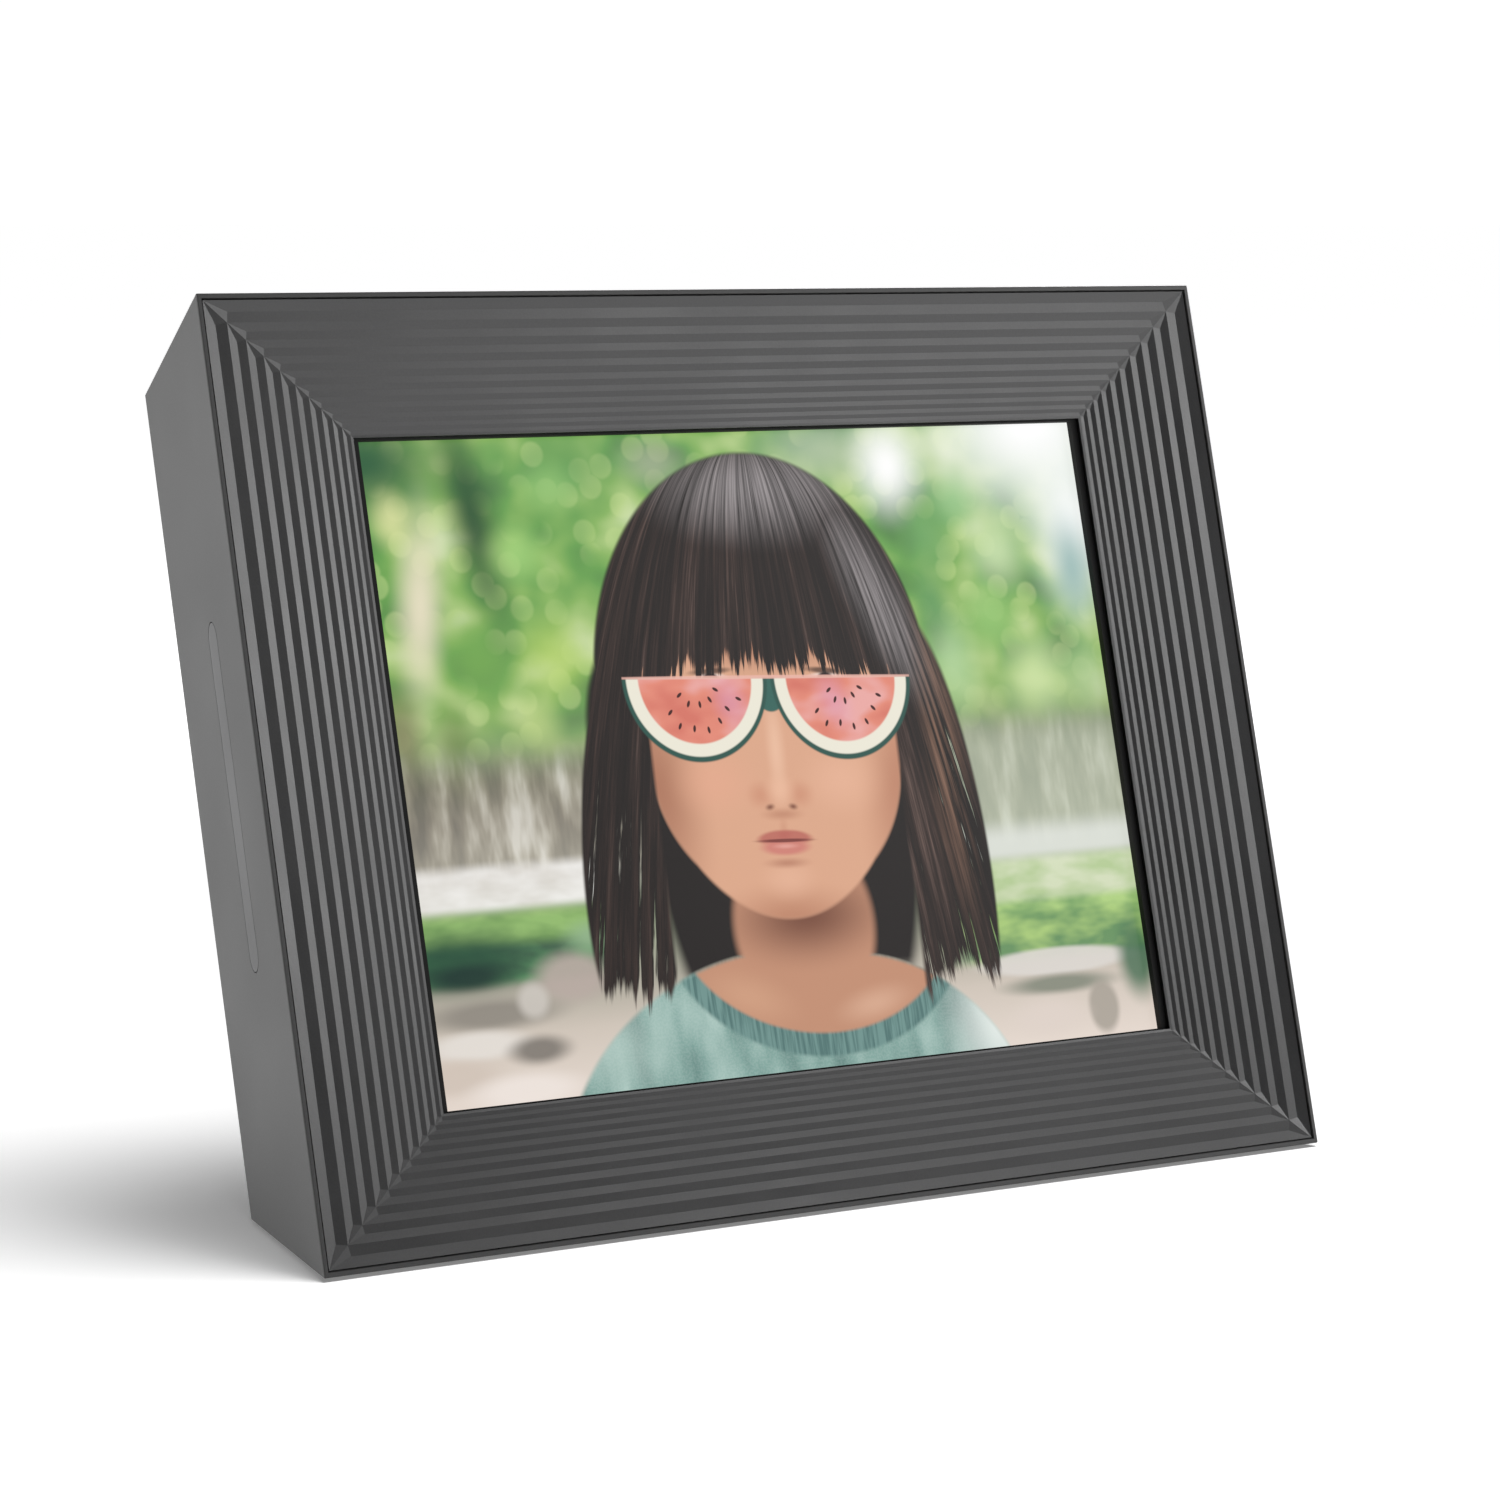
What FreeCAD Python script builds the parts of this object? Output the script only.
import FreeCAD, Part
import Sketcher

import os
import re

from FreeCAD import Placement, Rotation, Vector

# Digital photo frame that stands by itself on its slanted underside and leans back.
# The frame's own axes: x to the right, y from the front rim into the depth, z up along the front,
# from the middle of the front's bottom edge. stand() leans them back into the row's axes.

doc = FreeCAD.newDocument("photo_frame")
sizes = doc.addObject("Spreadsheet::Sheet", "sizes")

DRIVING_SIZES = [
    # screen's picture and the borders round it, which make the front 250 x 196 mm
    ("picture_width", 180.4, "picture left free by the black mask, across"),
    ("picture_height", 136.7, "picture left free by the black mask, up"),
    ("reveal_side", 1.55, "black mask that shows at each side of the picture"),
    ("reveal_top", 0.4, "black mask that shows above and below the picture"),
    ("border_side", 33.25, "ridged border at each side"),
    ("border_top", 29.25, "ridged border above and below"),
    # casing
    ("body_depth", 54, "front rim to back cover"),
    ("lean", 15, "degrees that the front leans back, and the slope of the underside"),
    ("side_taper", 13.5, "degrees that each side draws in towards the back"),
    ("top_taper", 8.8, "degrees that the top draws in towards the back"),
    ("wall", 2.8, "casing wall"),
    ("rim", 1.05, "flat rim of the casing round the front insert"),
    ("rear_rim", 1.3, "flat rim of the casing round the back cover"),
    ("seam", 0.3, "shadow gap between the casing and what is let into it"),
    ("cover_plate", 2.5, "thickness of the back cover"),
    ("post_inset", 9, "cover screws in from the edges of the back"),
    ("edge_round", 0.3, "rounding of the casing's outer edges"),
    # front insert
    ("insert_recess", 0.35, "outer edge of the insert behind the rim"),
    ("window_recess", 4.25, "edge of the window behind the rim"),
    ("ridge_fall", 0.09, "depth of a channel, as a share of its pitch"),
    ("lip", 1.0, "thickness of the insert at the window"),
    ("insert_seat", 3.4, "ledge of the casing behind the rim"),
    ("tape", 0.3, "bonding tape between the insert and the ledge"),
    # screen
    ("mask", 1.45, "thickness of the black mask"),
    ("gasket", 0.5, "dust gasket, pressed"),
    ("cell_margin", 5.5, "glass of the screen beyond its picture, all round"),
    ("cell", 1.6, "thickness of the screen's glass"),
    ("film", 0.5, "diffuser films together"),
    ("guide", 3, "light guide"),
    ("reflector", 0.25, "white reflector sheet"),
    ("mould", 1.4, "walls of the white frame round the light guide"),
    ("flange", 0.6, "front flange of the white frame"),
    ("sheet", 0.6, "steel of the screen's tray"),
    ("clearance", 0.2, "room left between pieces that fit in each other"),
    # circuit board and its sockets
    ("pillar", 11.4, "length of the board's pillars"),
    ("board", 1.6, "thickness of the circuit board"),
    ("board_width", 132, "circuit board, across"),
    ("board_height", 84, "circuit board, up"),
    ("board_rise", 7.85, "lower edge of the circuit board above the lower edge of the glass"),
    ("socket", 13, "height of the sockets above the board"),
    ("well_width", 74, "plug well in the back cover, across"),
    ("well_height", 30, "plug well in the back cover, up"),
    ("well_wall", 2, "walls and floor of the plug well"),
    ("inlet_bore", 2.8, "radius of the power inlet's mouth"),
    ("inlet_pin", 1.05, "radius of the power inlet's centre pin"),
    # touch strips, button and feet
    ("strip_length", 71, "touch strip, along"),
    ("strip_width", 7, "touch strip, across"),
    ("strip_depth", 23.5, "middle of the touch strip behind the rim"),
    ("button", 5, "radius of the power button"),
    ("button_proud", 1.2, "power button above the back cover"),
    ("button_travel", 0.6, "travel of the power button"),
    ("foot", 5, "radius of a rubber foot"),
    ("foot_thickness", 0.8, "thickness of a rubber foot"),
    ("thread", 1.5, "radius of a screw's thread"),
    ("screw_head", 2.75, "radius of a screw's head"),
    ("screw_head_height", 1.8, "height of a screw's head"),
]

for row, (alias, value, meaning) in enumerate(DRIVING_SIZES, start=1):
    sizes.set(f"A{row}", meaning)
    sizes.set(f"B{row}", str(value))
    sizes.setAlias(f"B{row}", alias)
doc.recompute()

nodes = []


# Sizes worked out from the driving ones. Levels are depths behind the front rim.
WORKED_OUT = {
    "window_width": "(picture_width + 2 * reveal_side)",
    "window_height": "(picture_height + 2 * reveal_top)",
    "front_width": "(window_width + 2 * border_side)",
    "front_height": "(window_height + 2 * border_top)",
    "middle": "(front_height / 2)",
    "cell_width": "(picture_width + 2 * cell_margin)",
    "cell_height": "(picture_height + 2 * cell_margin)",
    "insert_back": "(window_recess + lip)",
    "mask_back": "(insert_back + mask)",
    "cell_front": "(mask_back + gasket)",
    "cell_back": "(cell_front + cell)",
    "film_front": "(cell_back + flange)",
    "guide_front": "(film_front + film)",
    "guide_back": "(guide_front + guide)",
    "tray_front": "(guide_back + reflector)",
    "tray_back": "(tray_front + sheet)",
    "board_front": "(tray_back + pillar)",
    "board_back": "(board_front + board)",
    "socket_end": "(board_back + socket)",
    "cover_seat": "(body_depth - cover_plate)",
    # the casing's screw posts, the ears of the screen's tray, the board and what lines up with them
    "post_x": "(front_width / 2 - body_depth * tan(side_taper) - post_inset)",
    "post_low": "(body_depth * tan(lean) + post_inset)",
    "post_high": "(front_height - body_depth * tan(top_taper) - post_inset)",
    "tray_edge": "(cell_width / 2 + clearance + sheet)",
    "ear_x": "((tray_edge + front_width / 2 - tray_back * tan(side_taper) - wall) / 2)",
    "ear_z": "(cell_height / 2 - 22)",
    "board_left": "(15 - post_x)",
    "board_right": "(board_left + board_width)",
    "board_bottom": "(middle - cell_height / 2 + board_rise)",
    "board_top": "(board_bottom + board_height)",
    "well_x": "(board_left + 38)",
    "well_z": "(board_bottom + 17)",
    "speaker_x": "(post_x - 31)",
    "speaker_z": "(middle - 22)",
    "button_x": "(post_x - 33)",
    "button_z": "(front_height - 44)",
}
CELLS = {alias for alias, value, meaning in DRIVING_SIZES}


def full(expression):
    """Spell an expression out: worked-out sizes in full, and each driving size as its cell."""

    def spell(word):
        name = word.group()
        if name in WORKED_OUT:
            return full(WORKED_OUT[name])
        return f"sizes.{name}" if name in CELLS else name

    return re.sub("[a-z_]+", spell, str(expression))


def size(expression):
    """Value of an expression, for shapes that no feature makes."""
    return float(sizes.evalExpression(full(expression)))


def plus(*terms):
    return "(" + " + ".join(str(term) for term in terms) + ")"


def minus(first, *others):
    return "(" + " - ".join(str(term) for term in (first, *others)) + ")"


def about(centre, width):
    """Low and high ends of a width that is centred on a place."""
    return f"({centre} - ({width}) / 2)", f"({centre} + ({width}) / 2)"


# ---- building blocks -------------------------------------------------------------------------


def bind(item, **expressions):
    for name, expression in expressions.items():
        item.setExpression(name.replace("__", "."), full(expression))
    return item


def place(item, x=0, y=0, z=0):
    """Put a piece at a place in the frame's own axes."""
    return bind(item, Placement__Base__x=x, Placement__Base__y=y, Placement__Base__z=z)


def block(name, across, deep, up):
    """Rectangular block between pairs of ends in x, y and z."""
    item = doc.addObject("Part::Box", name)
    bind(item, Length=minus(across[1], across[0]))
    bind(item, Width=minus(deep[1], deep[0]), Height=minus(up[1], up[0]))
    return place(item, across[0], deep[0], up[0])


def rod(name, radius, x, deep, z):
    """Round rod that runs into the depth at a place on the front."""
    item = doc.addObject("Part::Cylinder", name)
    item.Placement = Placement(Vector(), Rotation(Vector(-1, 0, 0), 90))
    bind(item, Radius=radius, Height=minus(deep[1], deep[0]))
    return place(item, x, deep[0], z)


def casing_slice(name, inset, near, far):
    """Slice of the casing between two depths, its four faces set in from the casing's own."""

    def half_width(depth):
        return f"(front_width / 2 - {inset} - ({depth}) * tan(side_taper))"

    def bottom(depth):
        return f"({inset} + ({depth}) * tan(lean))"

    def top(depth):
        return f"(front_height - {inset} - ({depth}) * tan(top_taper))"

    item = doc.addObject("Part::Wedge", name)
    bind(item, Ymin=near, Xmin=f"-{half_width(near)}", Xmax=half_width(near))
    bind(item, Zmin=bottom(near), Zmax=top(near))
    bind(item, Ymax=far, X2min=f"-{half_width(far)}", X2max=half_width(far))
    return bind(item, Z2min=bottom(far), Z2max=top(far))


def join(name, pieces):
    item = doc.addObject("Part::MultiFuse", name)
    item.Shapes = pieces
    return item


def cut(name, base, tools):
    item = doc.addObject("Part::Cut", name)
    item.Base = base
    item.Tool = tools[0] if len(tools) == 1 else join(f"{name}_tools", tools)
    return item


def common(name, first, second):
    item = doc.addObject("Part::Common", name)
    item.Base = first
    item.Tool = second
    return item


def rounded(name, base):
    """Round every edge of a six-sided block."""
    item = doc.addObject("Part::Fillet", name)
    item.Base = base
    radius = size("edge_round")
    item.Edges = [(edge, radius, radius) for edge in range(1, 13)]
    return item


def group(name, pieces):
    item = doc.addObject("Part::Compound", name)
    item.Links = pieces
    return item


def stand(item, x=0, y=0, z=0, turn=0):
    """Lean a finished piece back about the front's bottom edge, centred and lifted on its feet."""
    item.Placement = Placement(Vector(), Rotation(Vector(-1, 0, 0), 1))
    item.setExpression("Placement.Rotation.Angle", full(f"{turn} + lean"))
    place(item, x,
          f"({y}) * cos(lean) + ({z}) * sin(lean) - {FOOTPRINT_CENTRE}",
          f"({z}) * cos(lean) - ({y}) * sin(lean) + foot_thickness")
    return item


def node(name, item, **place_in_frame):
    """Name a finished piece and stand it up."""
    stand(item, **place_in_frame)
    item.Label = name
    nodes.append(item)
    return item


def block_node(name, across, deep, up):
    item = block(f"{name}_block", across, deep, up)
    return node(name, item, x=across[0], y=deep[0], z=up[0])


# From the front's bottom edge to the middle of the footprint's box, which runs back to the top edge
# of the back cover.
FOOTPRINT_CENTRE = ("((body_depth * cos(lean) + (front_height"
                    " - body_depth * tan(top_taper)) * sin(lean)) / 2)")


def four_places(half_width, low, high):
    return [(side, level) for side in (f"-({half_width})", half_width) for level in (low, high)]


# ---- walls of the casing, as frames that its touch strips and feet are built in ----------------


def wall_frame(face):
    """Placement of a wall's outer face: z of the frame points out, y runs into the depth."""
    width, height = size("front_width"), size("front_height")
    if face == "left":
        turn = Rotation(Vector(0, 0, 1), -size("side_taper"))
        return Placement(Vector(-width / 2, 0, height / 2), turn * Rotation(Vector(0, 1, 0), -90))
    if face == "right":
        turn = Rotation(Vector(0, 0, 1), size("side_taper"))
        return Placement(Vector(width / 2, 0, height / 2), turn * Rotation(Vector(0, 1, 0), 90))
    turn = Rotation(Vector(1, 0, 0), -size("top_taper"))
    return Placement(Vector(0, 0, height), turn)


def row_frame():
    """Placement that stand() gives a piece without a place of its own."""
    back = Vector(0, -size(FOOTPRINT_CENTRE), size("foot_thickness"))
    return Placement(back, Rotation(Vector(-1, 0, 0), size("lean")))


def wall_piece(name, shape, face):
    """Piece made flat on a wall's outer face, then carried to that wall."""
    item = doc.addObject("Part::Feature", name)
    item.Shape = shape
    item.Placement = wall_frame(face)
    return item


def wall_node(name, shape, face):
    item = wall_piece(f"{name}_shape", shape, face)
    item.Placement = row_frame() * wall_frame(face)
    item.Label = name
    nodes.append(item)


def slab(length, width, low, high, middle):
    """Flat bar with round ends along a wall, between two levels off its outer face."""
    radius = width / 2
    straight = length / 2 - radius
    bar = Part.makeBox(2 * straight, width, high - low, Vector(-straight, middle - radius, low))
    ends = [Part.makeCylinder(radius, high - low, Vector(end, middle, low))
            for end in (-straight, straight)]
    return bar.multiFuse(ends).removeSplitter()


def touch_strip(face):
    """Translucent strip flush with the casing, the flange behind it, and the sensor foil."""
    wall, seam = size("wall"), size("clearance")
    length, width = size("strip_length"), size("strip_width")
    middle = size("strip_depth")
    flange, foil, step = 0.8, 0.25, 1.5
    slope = size("cos(side_taper)") if face != "top" else size("cos(top_taper)")
    inner = -wall * slope
    strip = slab(length, width, inner, 0, middle)
    behind = slab(length + 2 * step, width + 2 * step, inner - flange, inner, middle)
    wall_node(f"touch_strip_{face}", strip.fuse(behind).removeSplitter(), face)
    foil_shape = slab(length + step, width + step, inner - flange - foil, inner - flange, middle)
    wall_node(f"touch_sensor_{face}", foil_shape, face)
    slot = slab(length + 2 * seam, width + 2 * seam, -3 * wall, wall, middle)
    return wall_piece(f"strip_slot_{face}", slot, face)


# ---- casing ----------------------------------------------------------------------------------

COVER_SCREWS = four_places("post_x", "post_low", "post_high")
POST = 4.5
POST_LENGTH = 16
THREAD_DEPTH = 10
SCREW_PLAY = 0.05


def screw(name, x, z, under_head, length):
    """Pan-head screw with a cross recess, its head towards the back."""
    head_end = plus(under_head, "screw_head_height")
    shank = rod(f"{name}_shank", "thread", x, (minus(under_head, length), under_head), z)
    head = rod(f"{name}_head", "screw_head", x, (under_head, head_end), z)
    recess = (minus(head_end, "screw_head_height * 0.6"), plus(head_end, 1))
    slots = [block(f"{name}_slot_across", about(x, 3), recess, about(z, 0.7)),
             block(f"{name}_slot_up", about(x, 0.7), recess, about(z, 3))]
    return cut(name, join(f"{name}_body", [shank, head]), slots)


def screws(name, places, under_head, length):
    pieces = [screw(f"{name}_{i}", x, z, under_head, length) for i, (x, z) in enumerate(places)]
    return node(name, group(f"{name}_group", pieces))


def outer_shell():
    """Four drawn-in walls in one moulding, with ledges front and back and four screw posts."""
    outside = rounded("casing_outside", casing_slice("casing_block", 0, 0, "body_depth"))
    hollow = casing_slice("casing_hollow", "wall", "insert_seat", "cover_seat")
    front = casing_slice("insert_rebate", "rim", -1, plus("insert_seat", 0.01))
    back = casing_slice("cover_rebate", "rear_rim", "cover_seat", "body_depth + 1")
    walls = cut("casing_walls", outside, [hollow, front, back])
    posts = []
    for i, (x, z) in enumerate(COVER_SCREWS):
        deep = (minus("cover_seat", POST_LENGTH), "cover_seat")
        posts.append(block(f"post_{i}_across", about(x, 2 * POST + 14), deep, about(z, 3)))
        posts.append(block(f"post_{i}_up", about(x, 3), deep, about(z, 2 * POST + 14)))
        posts.append(rod(f"post_{i}_round", POST, x, deep, z))
    inside = casing_slice("casing_inside", "wall / 2", 0, "cover_seat")
    posts = common("screw_posts", join("screw_post_parts", posts), inside)
    holes = [rod(f"post_hole_{i}", f"thread + {SCREW_PLAY}", x,
                 (minus("cover_seat", THREAD_DEPTH), plus("cover_seat", 1)), z)
             for i, (x, z) in enumerate(COVER_SCREWS)]
    slots = [touch_strip("left"), touch_strip("top")]
    node("outer_shell", cut("casing", join("casing_and_posts", [walls, posts]), holes + slots))


# ---- ridged front insert ------------------------------------------------------------------------

RIDGES = 10
FIRST_PITCH = 2.8
OUTER_PITCH = 2.2
INNER_PITCH = 1.0
LIP_LAND = 0.6
CORNER_RUN = 0.6
EARS = four_places("ear_x", "(middle - ear_z)", "(middle + ear_z)")
EAR_SCREW_LENGTH = 6


def ridge_shares():
    """Places of the ridges from the insert's outer edge, 0, to its inner land, 1."""
    fall = (OUTER_PITCH - INNER_PITCH) / (RIDGES - 2)
    pitches = [FIRST_PITCH] + [OUTER_PITCH - fall * i for i in range(RIDGES - 1)]
    return [sum(pitches[:i]) / sum(pitches) for i in range(RIDGES + 1)]


def casing_corners(inset, depth):
    """Four corners of the casing's section at a depth, from the top left clockwise."""
    half = size(f"front_width / 2 - {inset} - {depth} * tan(side_taper)")
    low = size(f"{inset} + {depth} * tan(lean)")
    high = size(f"front_height - {inset} - {depth} * tan(top_taper)")
    return [Vector(-half, depth, high), Vector(half, depth, high),
            Vector(half, depth, low), Vector(-half, depth, low)]


def window_corners(depth):
    half, up = size("window_width / 2"), size("window_height / 2")
    middle = size("middle")
    return [Vector(-half, depth, middle + up), Vector(half, depth, middle + up),
            Vector(half, depth, middle - up), Vector(-half, depth, middle - up)]


def between(start, end, share):
    return start + (end - start) * share


def facet(*corners):
    return Part.Face(Part.makePolygon([*corners, corners[0]]))


def band(outer, inner):
    """Four trapezoids between two rings of corners."""
    return [facet(outer[i], outer[i - 3], inner[i - 3], inner[i]) for i in range(4)]


def channel(near, far, depth):
    """V channel round the front between two ridges; it stops short of each corner in a facet."""
    faces = []
    for i in range(4):
        a, b = near[i], near[i - 3]
        d, c = far[i], far[i - 3]
        along = Vector(1, 0, 0) if i % 2 == 0 else Vector(0, 0, 1)
        keel = []
        for start, end in ((a, d), (b, c)):
            step = end - start
            run = along * step.dot(along)
            keel.append(start + step * 0.5 + run * CORNER_RUN + Vector(0, depth, 0))
        faces += [facet(a, b, keel[1], keel[0]), facet(keel[0], keel[1], c, d)]
        faces += [facet(a, keel[0], d), facet(b, c, keel[1])]
    return faces


def ridged_insert():
    """Moulded insert: ten V channels fall in narrowing steps from the rim to the window."""
    recess, seat = size("insert_recess"), size("insert_seat - tape")
    border = size("(front_width - window_width) / 2 - rim - seam")
    edge_inset = "(rim + seam)"
    step_inset = "(wall + seam)"
    back = size("insert_back")
    edge = casing_corners(edge_inset, recess)
    lip = window_corners(size("window_recess"))
    land = [between(edge[i], lip[i], 1 - LIP_LAND / border) for i in range(4)]
    shares = ridge_shares()
    rings = [[between(edge[i], land[i], share) for i in range(4)] for share in shares]
    fall = size("ridge_fall") * (border - LIP_LAND)
    faces = []
    for near, far, start, end in zip(rings, rings[1:], shares, shares[1:]):
        faces += channel(near, far, fall * (end - start))
    edge_back = casing_corners(edge_inset, seat)
    step = [Vector(p.x, seat, p.z) for p in casing_corners(step_inset, back)]
    step_back = [Vector(p.x, back, p.z) for p in step]
    outline = [rings[-1], lip, window_corners(back), step_back, step, edge_back, edge]
    for outer, inner in zip(outline, outline[1:]):
        faces += band(outer, inner)
    solid = Part.makeSolid(Part.makeShell(faces))
    if solid.Volume < 0:
        solid.reverse()
    return solid


def front_insert():
    blank = doc.addObject("Part::Feature", "ridged_insert")
    blank.Shape = ridged_insert()
    start = minus("insert_back", 0.5)
    bosses = [rod(f"insert_boss_{i}", 4, x, (start, "tray_front"), z)
              for i, (x, z) in enumerate(EARS)]
    holes = [rod(f"insert_hole_{i}", f"thread + {SCREW_PLAY}", x,
                 (minus("tray_back", EAR_SCREW_LENGTH, 0.5), plus("tray_front", 1)), z)
             for i, (x, z) in enumerate(EARS)]
    node("front_insert", cut("insert", join("insert_with_bosses", [blank, *bosses]), holes))
    ring = casing_slice("tape_outside", "(rim + seam)",
                        "insert_seat - tape", "insert_seat")
    middle = casing_slice("tape_inside", "wall", "0", "insert_seat + 1")
    node("insert_tape", cut("tape_ring", ring, [middle]))


# ---- screen ------------------------------------------------------------------------------------


def ring(name, outer, inner, deep):
    """Flat rectangular frame, centred on the window, as a padded sketch."""
    body = doc.addObject("PartDesign::Body", f"{name}_body")
    sketch = body.newObject("Sketcher::SketchObject", f"{name}_outline")
    plane = [f for f in body.Origin.OriginFeatures if f.Role == "XZ_Plane"][0]
    sketch.AttachmentSupport = [(plane, "")]
    sketch.MapMode = "FlatFace"
    for width, height in (outer, inner):
        centred_rectangle(sketch, width, height)
    pad = body.newObject("PartDesign::Pad", f"{name}_pad")
    pad.Profile = sketch
    pad.Reversed = True
    bind(pad, Length=minus(deep[1], deep[0]))
    body.Tip = pad
    return body


def centred_rectangle(sketch, width, height):
    """Rectangle about the sketch's origin, its size bound to the sheet."""
    first = sketch.GeometryCount
    corners = [(-1, -1), (1, -1), (1, 1), (-1, 1)]
    points = [Vector(size(f"{width} / 2") * x, size(f"{height} / 2") * y, 0) for x, y in corners]
    for start, end in zip(points, points[1:] + points[:1]):
        sketch.addGeometry(Part.LineSegment(start, end), False)
    for i in range(4):
        sketch.addConstraint(Sketcher.Constraint("Coincident", first + i, 2, first + (i + 1) % 4, 1))
    for i in range(4):
        kind = "Horizontal" if i % 2 == 0 else "Vertical"
        sketch.addConstraint(Sketcher.Constraint(kind, first + i))
    sketch.addConstraint(Sketcher.Constraint("Symmetric", first, 1, first + 1, 2, -1, 1))
    for edge, kind, extent in ((0, "DistanceX", width), (1, "DistanceY", height)):
        value = size(extent)
        index = sketch.addConstraint(Sketcher.Constraint(kind, first + edge, 1, first + edge, 2, value))
        sketch.setExpression(f"Constraints[{index}]", full(extent))


def mask_and_gasket():
    cell = ("cell_width", "cell_height")
    picture = ("picture_width", "picture_height")
    opening = ("(picture_width + 3)", "(picture_height + 3)")
    mask = ring("window_mask", cell, picture, ("insert_back", "mask_back"))
    node("window_mask", mask, y="insert_back", z="middle")
    gasket = ring("dust_gasket", cell, opening, ("mask_back", "cell_front"))
    node("dust_gasket", gasket, y="mask_back", z="middle")


def centred_block(name, width, height, deep):
    return block(name, about(0, width), deep, about("middle", height))


CAVITY_WIDTH = "(cell_width - 2 * mould)"
CAVITY_HEIGHT = "(cell_height - 2 * mould)"
FILM_WIDTH = minus(CAVITY_WIDTH, "2 * clearance")
FILM_HEIGHT = minus(CAVITY_HEIGHT, "2 * clearance")
FILM_BOTTOM = minus("middle", f"{FILM_HEIGHT} / 2")
LED_TAPE = 0.4
LED = (3.0, 2.2, 0.8)
LED_COUNT = 24


def light_pack():
    """White frame that carries the glass, with the films, light guide and LEDs inside it."""
    frame = centred_block("light_frame_block", "cell_width", "cell_height",
                          ("cell_back", "tray_front"))
    cavity = centred_block("light_frame_cavity", CAVITY_WIDTH, CAVITY_HEIGHT,
                           ("film_front", plus("tray_front", 1)))
    opening = centred_block("light_frame_opening", "picture_width + 3",
                            "picture_height + 3", (minus("cell_back", 1), "film_front"))
    node("light_frame", cut("light_frame_cut", frame, [cavity, opening]))
    across, up = about(0, FILM_WIDTH), about("middle", FILM_HEIGHT)
    guide_up = (plus(FILM_BOTTOM, LED_TAPE, LED[2], "clearance"), up[1])
    block_node("diffuser_films", across, ("film_front", "guide_front"), up)
    block_node("light_guide", across, ("guide_front", "guide_back"), guide_up)
    block_node("reflector_sheet", across, ("guide_back", "tray_front"), up)
    block_node("screen_cell", about(0, "cell_width"), ("cell_front", "cell_back"),
               about("middle", "cell_height"))
    top = plus(FILM_BOTTOM, LED_TAPE)
    tape = block("led_tape", across, (plus("guide_front", 0.1), minus("guide_back", 0.1)),
                 (FILM_BOTTOM, top))
    deep = about(f"((guide_front + guide_back) / 2)", LED[1])
    leds = [block(f"led_{i}", about(f"({FILM_WIDTH} / {LED_COUNT} * {i + 0.5 - LED_COUNT / 2})",
                                    LED[0]), deep, (top, plus(top, LED[2])))
            for i in range(LED_COUNT)]
    node("led_strip", join("led_tape_and_leds", [tape, *leds]))


RIBBON_X = (-20, 16)


def screen_tray():
    """Folded steel tray that holds the light pack together, with an ear over each boss."""
    outer = ["(cell_width + 2 * (clearance + sheet))",
             "(cell_height + 2 * (clearance + sheet))"]
    inner = [f"({extent} - 2 * sheet)" for extent in outer]
    shell = centred_block("tray_block", *outer, (plus("cell_front", 0.4), "tray_back"))
    hollow = centred_block("tray_hollow", *inner, ("cell_front", "tray_front"))
    bottom = minus("middle", f"{outer[1]} / 2")
    notch = block("tray_notch", (RIBBON_X[0] - 2, RIBBON_X[1] + 2), ("cell_front", "cell_back"),
                  (minus(bottom, 1), plus(bottom, 2)))
    ears = [block(f"ear_{i}", ("-(ear_x + 5)", "(ear_x + 5)"), ("tray_front", "tray_back"),
                  about(z, 10)) for i, z in enumerate((EARS[0][1], EARS[1][1]))]
    holes = [rod(f"ear_hole_{i}", "thread + clearance", x,
                 (minus("tray_front", 1), plus("tray_back", 1)), z) for i, (x, z) in enumerate(EARS)]
    tray = cut("tray_open", shell, [hollow, notch])
    node("screen_tray", cut("tray", join("tray_with_ears", [tray, *ears]), holes))
    screws("screen_screws", EARS, "tray_back", EAR_SCREW_LENGTH)


# ---- circuit board --------------------------------------------------------------------------------

PILLARS = [(x, z) for x in ("(board_left + 5)", "(board_right - 5)")
           for z in ("(board_bottom + 5)", "(board_top - 5)")]
BOARD_SCREW_LENGTH = 6
RIBBON = 0.3
RIBBON_LEVEL = plus("board_back", 1)
CONNECTOR_BACK = plus("board_back", 2.2)


def main_board():
    board = block("board_block", ("board_left", "board_right"), ("board_front", "board_back"),
                  ("board_bottom", "board_top"))
    holes = [rod(f"board_hole_{i}", "thread + clearance", x,
                 (minus("board_front", 1), plus("board_back", 1)), z)
             for i, (x, z) in enumerate(PILLARS)]
    node("main_board", cut("board", board, holes))
    pillars = []
    for i, (x, z) in enumerate(PILLARS):
        post = rod(f"pillar_{i}", 2.75, x, ("tray_back", "board_front"), z)
        bore = rod(f"pillar_bore_{i}", f"thread + {SCREW_PLAY}", x,
                   (minus("board_front", 7), plus("board_front", 1)), z)
        pillars.append(cut(f"pillar_{i}_bored", post, [bore]))
    node("board_pillars", group("pillars", pillars))
    screws("board_screws", PILLARS, "board_back", BOARD_SCREW_LENGTH)


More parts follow.
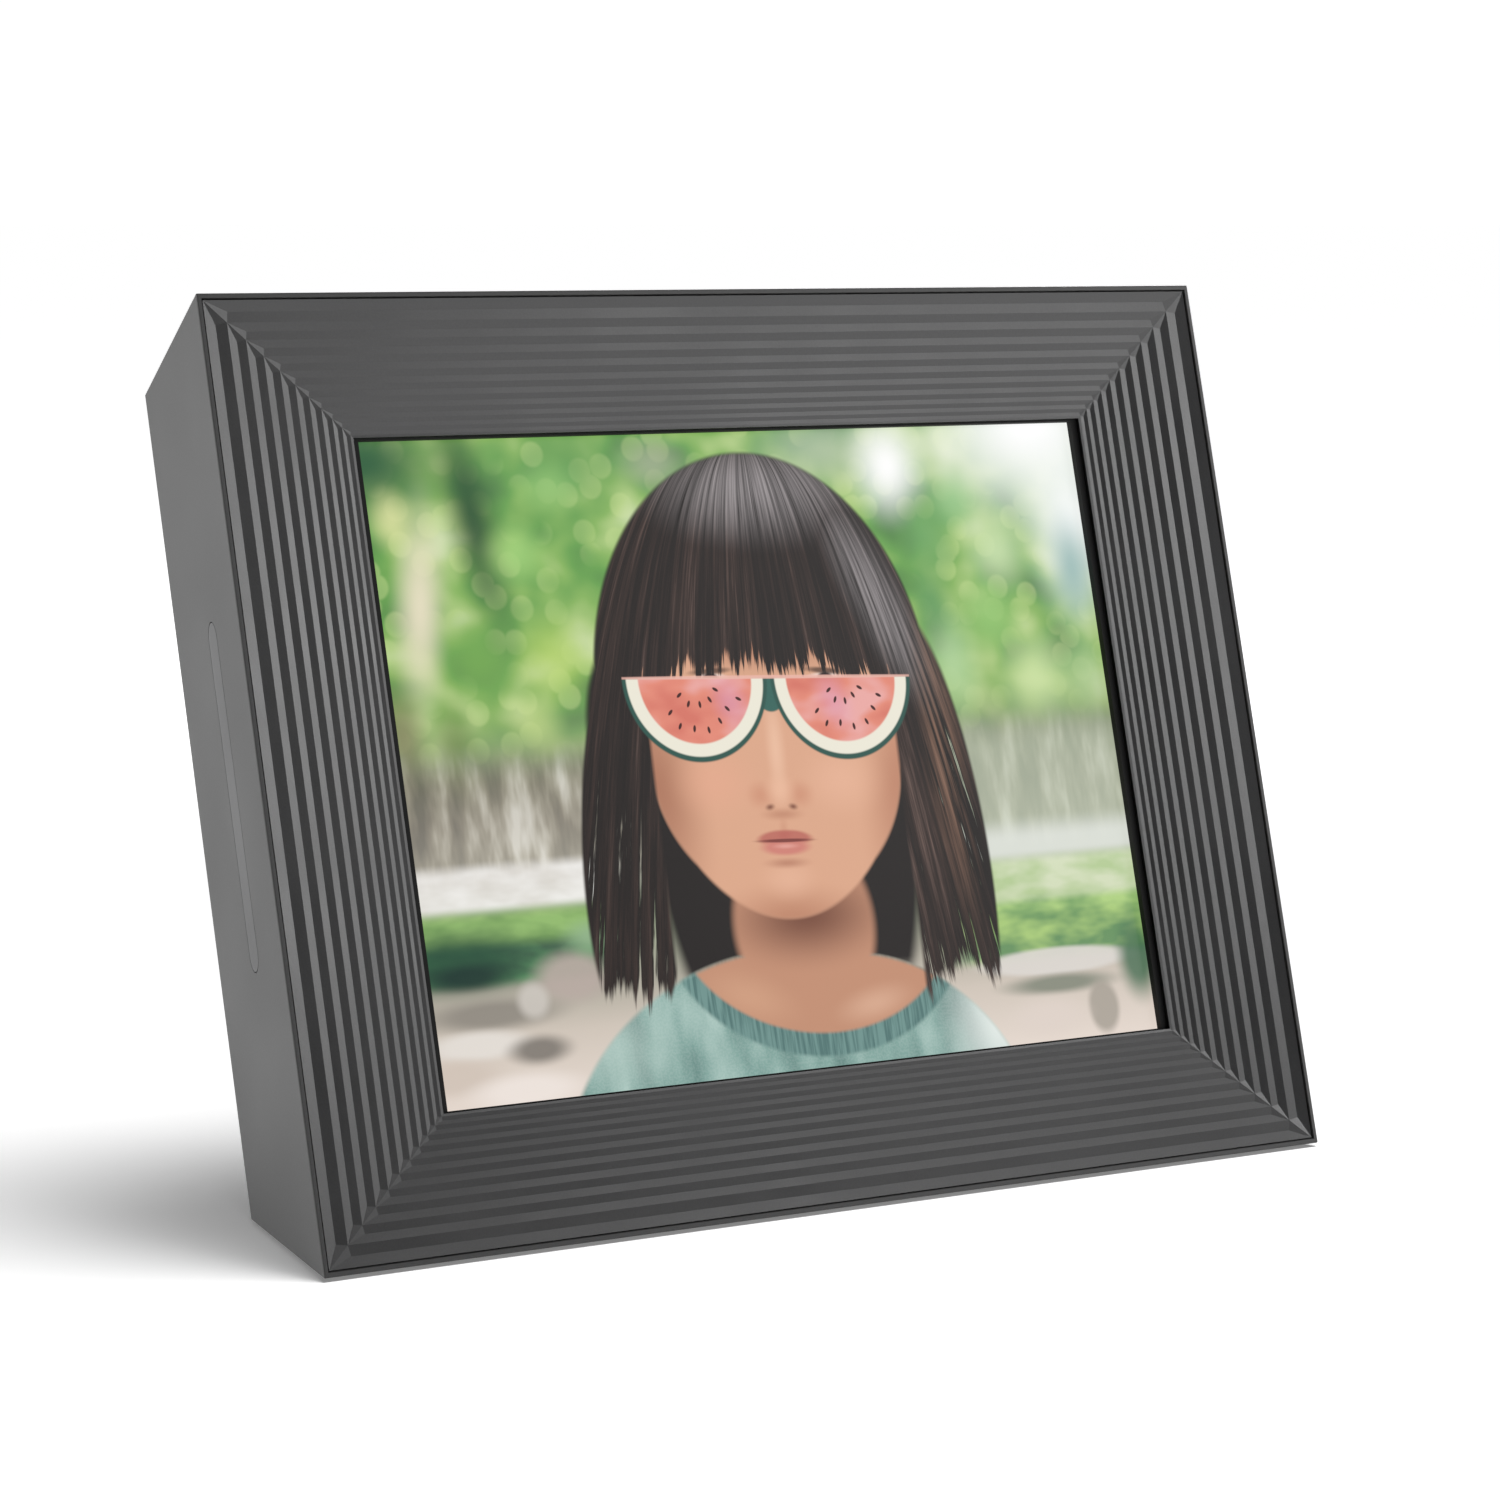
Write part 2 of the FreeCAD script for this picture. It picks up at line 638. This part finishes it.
def chips():
    """Processor under its shield can, and the memory beside it."""
    can_x, can_z = "(board_right - 40)", "(board_top - 30)"
    width, height, rise, tin = 44, 38, 3.4, 0.3
    can = block("can_block", about(can_x, width), ("board_back", plus("board_back", rise)),
                about(can_z, height))
    room = block("can_room", about(can_x, width - 2 * tin),
                 ("(board_back - 1)", plus("board_back", rise - tin)),
                 about(can_z, height - 2 * tin))
    node("shield_can", cut("can", can, [room]))
    block_node("processor", about(can_x, 19), ("board_back", "(board_back + 1.6)"),
               about(can_z, 19))
    memory = [block(f"memory_{i}", about(minus(can_x, 42), 12),
                    ("board_back", "(board_back + 1.1)"), about(plus(can_z, offset), 9))
              for i, offset in enumerate((-7, 7))]
    node("memory_chips", group("memory", memory))


# ---- sockets in the plug well -----------------------------------------------------------------------

INLET = ("(well_x - 26)", 9, 11)
USB = ("(well_x - 8)", 6.2, 13.4)
CARD = ("(well_x + 17)", 28, 4.4)
INLET_DEPTH = 9.5


def socket_block(name, outline, deep, room=0):
    x, width, height = outline
    return block(name, about(x, f"{width} + 2 * {room}"), deep, about("well_z", f"{height} + 2 * {room}"))


def sockets():
    deep = ("board_back", "socket_end")
    mouth = plus("socket_end", 1)
    bore = rod("inlet_bore_rod", "inlet_bore", INLET[0], (minus("socket_end", INLET_DEPTH), mouth),
               "well_z")
    node("inlet_housing", cut("inlet", socket_block("inlet_block", INLET, deep), [bore]))
    pin = (minus("socket_end", INLET_DEPTH), minus("socket_end", 0.5))
    node("inlet_pin", rod("inlet_pin_rod", "inlet_pin", INLET[0], pin, "well_z"),
         x=INLET[0], y=pin[0], z="well_z", turn=90)
    room = socket_block("usb_room", USB, (minus("socket_end", 11.5), mouth), room=-0.4)
    node("usb_shell", cut("usb", socket_block("usb_block", USB, deep), [room]))
    block_node("usb_tongue", about(minus(USB[0], 1), 1.8),
               (minus("socket_end", 11.5), minus("socket_end", 1)), about("well_z", 11))
    slot = block("card_slot", about(CARD[0], 24.6), (minus("socket_end", 12), mouth), about("well_z", 2.6))
    node("card_socket", cut("card", socket_block("card_block", CARD, deep), [slot]))


# ---- flat leads ---------------------------------------------------------------------------------------


def connector(name, across, up):
    return block(name, across, ("board_back", CONNECTOR_BACK), up)


def leads():
    """Flat ribbons from the screen and the touch strips to their connectors on the board."""
    level = (RIBBON_LEVEL, plus(RIBBON_LEVEL, RIBBON))
    cell_bottom = minus("middle", "cell_height / 2")
    under = (minus(cell_bottom, 2.3), plus(minus(cell_bottom, 2.3), RIBBON))
    start = (plus("cell_front", 0.9), plus("cell_front", 0.9 + RIBBON))
    screen_end = plus("board_bottom", 4)
    legs = [block("screen_leg_0", RIBBON_X, start, (under[0], cell_bottom)),
            block("screen_leg_1", RIBBON_X, (start[0], level[1]), under),
            block("screen_leg_2", RIBBON_X, level, (under[0], screen_end))]
    node("screen_ribbon", join("screen_legs", legs))

    foil_gap = "1.15 / cos(side_taper)"
    wall_x = minus("front_width / 2", "strip_depth * tan(side_taper)",
                   "wall", foil_gap)
    bend = minus("board_left", 4)
    touch = about("strip_depth", RIBBON)
    tall = about("middle", 10)
    left_end = plus("board_left", 2)
    legs = [block("left_leg_0", (f"-{wall_x}", bend), touch, tall),
            block("left_leg_1", (minus(bend, RIBBON), bend), (touch[0], level[1]), tall),
            block("left_leg_2", (minus(bend, RIBBON), left_end), level, tall)]
    node("touch_ribbon_left", join("left_legs", legs))

    wall_z = minus("front_height", "strip_depth * tan(top_taper)",
                   "wall", foil_gap)
    above = plus("board_top", 4)
    wide = about(0, 10)
    top_end = minus("board_top", 2)
    legs = [block("top_leg_0", wide, touch, (above, wall_z)),
            block("top_leg_1", wide, (touch[0], level[1]), (minus(above, RIBBON), above)),
            block("top_leg_2", wide, level, (top_end, above))]
    node("touch_ribbon_top", join("top_legs", legs))

    sockets_on_board = [
        connector("screen_connector", (RIBBON_X[0] - 2, RIBBON_X[1] + 2),
                  (screen_end, plus(screen_end, 5))),
        connector("left_connector", (left_end, plus(left_end, 4)), about("middle", 13)),
        connector("top_connector", about(0, 13), (minus(top_end, 4), top_end)),
        connector("speaker_connector", SPEAKER_LEAD_X, about("speaker_z", 6)),
        connector("button_connector", about(BUTTON_LEAD_X, 7),
                  (minus("board_top", 7), minus("board_top", 2))),
    ]
    node("board_connectors", group("connectors", sockets_on_board))


# ---- speaker ------------------------------------------------------------------------------------------

SPEAKER_RADIUS = 20
SPEAKER_LEAD_X = (minus("board_right", 8), minus("board_right", 2))
GRILLE_PITCH = 3.6
GRILLE_SLOT = 1.6
GRILLE_RADIUS = 16


def speaker():
    """Small cone speaker bonded behind the grille by its flange."""
    x, z = "speaker_x", "speaker_z"
    back = minus("cover_seat", 5.5)

    def disc(name, radius, near, far):
        return rod(f"speaker_{name}", radius, x, (minus("cover_seat", near), minus("cover_seat", far)), z)

    flange, cup = disc("flange", SPEAKER_RADIUS, 1.4, 0), disc("cup", 17, 5.5, 1.4)
    hollows = [disc("mouth", 18, 0.9, -1), disc("room", 16, 4.5, 0.9)]
    node("speaker_basket", cut("basket", join("basket_solid", [flange, cup]), hollows))
    cone = rod("cone_rim", 17.5, x, (minus("cover_seat", 0.9), minus("cover_seat", 0.5)), z)
    dome = doc.addObject("Part::Cone", "cone_body")
    dome.Placement = Placement(Vector(), Rotation(Vector(-1, 0, 0), 90))
    dome.Radius1, dome.Radius2, dome.Height = 8, 15, 3.2
    place(dome, x, minus("cover_seat", 4.1), z)
    inside = doc.addObject("Part::Cone", "cone_hollow")
    inside.Placement = Placement(Vector(), Rotation(Vector(-1, 0, 0), 90))
    inside.Radius1, inside.Radius2, inside.Height = 7.6, 14.6, 3.2
    place(inside, x, minus("cover_seat", 3.69), z)
    node("speaker_cone", cut("cone", join("cone_solid", [cone, dome]), [inside]))
    block_end = minus(back, 4.5)
    node("speaker_magnet", rod("magnet_rod", 10, x, (block_end, back), z),
         x=x, y=block_end, z=z, turn=90)
    lead_deep = (minus(back, 2), minus(back, 0.8))
    lead_up = about(z, 2.4)
    legs = [block("speaker_leg_0", about(minus("board_right", 5), 1.2), (CONNECTOR_BACK, lead_deep[1]),
                  lead_up),
            block("speaker_leg_1", (minus("board_right", 5.6), minus(x, 10.3)), lead_deep, lead_up)]
    node("speaker_lead", join("speaker_legs", legs))


# ---- power button -------------------------------------------------------------------------------------

BUTTON_FLANGE = 1.2
BUTTON_GAP = 0.1
STEM = 1.2
PLUNGER = 1.6
PLUNGER_LENGTH = 1.8
BUTTON_BOARD = (34, 14, 1.2)
BUTTON_LEAD_X = "(board_right - 20)"
FLANGE_BACK = minus("cover_seat", BUTTON_GAP)
FLANGE_FRONT = minus(FLANGE_BACK, BUTTON_FLANGE)
STEM_END = minus(FLANGE_FRONT, STEM)
SWITCH_FACE = minus(STEM_END, "button_travel", 0.2)
SWITCH_SEAT = minus(SWITCH_FACE, 3.5)
STAKE_OFFSET = 13


def power_button():
    """Button in the back cover that pushes a small sprung switch on its own board."""
    x, z = "button_x", "button_z"
    cap = rod("button_cap", "button", x,
              (FLANGE_FRONT, plus("body_depth", "button_proud")), z)
    flange = rod("button_flange", "button + 1.2", x, (FLANGE_FRONT, FLANGE_BACK), z)
    stem = rod("button_stem", PLUNGER, x, (STEM_END, FLANGE_FRONT), z)
    node("power_button", join("button_solid", [cap, flange, stem]))
    plunger = (minus(STEM_END, PLUNGER_LENGTH), STEM_END)
    node("switch_plunger", rod("plunger_rod", PLUNGER, x, plunger, z),
         x=x, y=plunger[0], z=z, turn=90)
    well = rod("switch_well", PLUNGER + 0.15, x,
               (minus(plunger[0], "button_travel", 0.2), plus(SWITCH_FACE, 1)), z)
    case = block("switch_case", about(x, 6.2), (SWITCH_SEAT, SWITCH_FACE), about(z, 6.2))
    node("button_switch", cut("switch", case, [well]))
    width, height, thickness = BUTTON_BOARD
    deep = (minus(SWITCH_SEAT, thickness), SWITCH_SEAT)
    board = block("button_board_block", about(x, width), deep, about(z, height))
    holes = [rod(f"stake_hole_{side}", 1.3, plus(x, STAKE_OFFSET * side),
                 (minus(deep[0], 1), plus(SWITCH_SEAT, 1)), z) for side in (-1, 1)]
    node("button_board", cut("button_board_cut", board, holes))
    lead_deep = (minus(deep[0], 1.2), deep[0])
    legs = [block("button_leg_0", (minus(BUTTON_LEAD_X, 0.6), minus(x, width / 2 - 2)), lead_deep,
                  about(z, 2.4)),
            block("button_leg_1", about(BUTTON_LEAD_X, 1.2), lead_deep,
                  (minus("board_top", 5), plus(z, 1.2))),
            block("button_leg_2", about(BUTTON_LEAD_X, 1.2), (CONNECTOR_BACK, lead_deep[1]),
                  about(minus("board_top", 4.4), 1.2))]
    node("button_lead", join("button_legs", legs))


# ---- back cover ---------------------------------------------------------------------------------------

COVER_EDGE = "(rear_rim + clearance)"
SCREW_SEAT = plus("cover_seat", 0.9)
COVER_SCREW_LENGTH = 8
VENTS = 15
VENT_PITCH = 5
VENT_SIZE = (2, 22)


def cover_slots():
    """Speaker grille, whose slots follow a circle, and a row of air vents under the top edge."""
    deep = (minus("cover_seat", 1), plus("body_depth", 1))
    x, z = "speaker_x", "speaker_z"
    slots = []
    count = int(GRILLE_RADIUS / GRILLE_PITCH)
    for i in range(-count, count + 1):
        offset = i * GRILLE_PITCH
        length = 2 * (GRILLE_RADIUS ** 2 - offset ** 2) ** 0.5
        slots.append(block(f"grille_slot_{i + count}", about(plus(x, offset), GRILLE_SLOT), deep,
                           about(z, length)))
    vent_z = "(post_high - 15)"
    for i in range(VENTS):
        centre = (i - (VENTS - 1) / 2) * VENT_PITCH - 20
        slots.append(block(f"vent_{i}", about(centre, VENT_SIZE[0]), deep, about(vent_z, VENT_SIZE[1])))
    return slots


def rear_cover():
    """Back cover let into the casing, with a well for the plugs and stakes for the button's board."""
    plate = casing_slice("cover_slice", COVER_EDGE, "cover_seat", "body_depth")
    floor = minus("socket_end", "well_wall")
    box = block("well_box", about("well_x", "well_width + 2 * well_wall"),
                (floor, plus("cover_seat", 0.5)),
                about("well_z", "well_height + 2 * well_wall"))
    x, z = "button_x", "button_z"
    stakes = []
    for side in (-1, 1):
        at = plus(x, STAKE_OFFSET * side)
        stakes.append(rod(f"stake_{side}", 3, at, (SWITCH_SEAT, plus("cover_seat", 0.5)), z))
        stakes.append(rod(f"stake_pin_{side}", 1.2, at,
                          (minus(SWITCH_SEAT, BUTTON_BOARD[2], 0.6), SWITCH_SEAT), z))
    solid = join("cover_solid", [plate, box, *stakes])
    beyond = plus("body_depth", 1)
    well = block("well_room", about("well_x", "well_width"), ("socket_end", beyond),
                 about("well_z", "well_height"))
    openings = [socket_block(f"socket_opening_{i}", outline, (minus(floor, 1), plus("socket_end", 1)),
                             room="clearance")
                for i, outline in enumerate((INLET, USB, CARD))]
    button_hole = rod("button_hole", "button + clearance", x,
                      (minus("cover_seat", 1), beyond), z)
    holes = []
    for i, (sx, sz) in enumerate(COVER_SCREWS):
        holes.append(rod(f"cover_hole_{i}", "thread + clearance", sx,
                         (minus("cover_seat", 1), beyond), sz))
        holes.append(rod(f"cover_sink_{i}", "screw_head + clearance", sx,
                         (SCREW_SEAT, beyond), sz))
    tools = [well, *openings, button_hole, *holes, *cover_slots()]
    node("rear_cover", cut("cover", solid, tools))
    screws("cover_screws", COVER_SCREWS, SCREW_SEAT, COVER_SCREW_LENGTH)


# ---- feet ---------------------------------------------------------------------------------------------

FOOT_INSET = 9
FOOT_X = "(front_width / 2 - 24)"


def feet():
    """Rubber feet on the underside, and on the right side for standing upright."""
    rear = minus("body_depth / cos(lean)", FOOT_INSET)
    pads = []
    for i, (x, y) in enumerate(four_places(FOOT_X, FOOT_INSET, rear)):
        pad = doc.addObject("Part::Cylinder", f"foot_{i}")
        bind(pad, Radius="foot", Height="foot_thickness")
        pads.append(place(pad, x, f"{y} - {FOOTPRINT_CENTRE}", 0))
    base = group("base_pads", pads)
    base.Label = "base_feet"
    nodes.append(base)
    radius, thickness = size("foot"), size("foot_thickness")
    reach = size("front_height / 2 - 24")
    rear = size("body_depth / cos(side_taper)") - FOOT_INSET
    side = [Part.makeCylinder(radius, thickness, Vector(along, deep, 0))
            for along in (-reach, reach) for deep in (FOOT_INSET, rear)]
    wall_node("side_feet", Part.makeCompound(side), "right")


# ---- the whole frame ----------------------------------------------------------------------------------

outer_shell()
front_insert()
mask_and_gasket()
light_pack()
screen_tray()
main_board()
chips()
sockets()
leads()
speaker()
power_button()
rear_cover()
feet()
doc.recompute()

for item in doc.Objects:
    if "Invalid" in item.State or "Error" in item.State:
        raise RuntimeError(f"{item.Name} failed: {item.State}")
for item in nodes:
    if item.Shape.isNull() or not item.Shape.isValid():
        raise RuntimeError(f"{item.Label} has no valid shape")

os.makedirs("parts", exist_ok=True)
for item in nodes:
    item.Shape.exportStep(f"parts/{item.Label}.step")
    box = item.Shape.BoundBox
    print(f"{item.Label}: {len(item.Shape.Solids)} solid(s), {item.Shape.Volume:.0f} mm3,"
          f" {box.XLength:.1f} x {box.YLength:.1f} x {box.ZLength:.1f} mm")
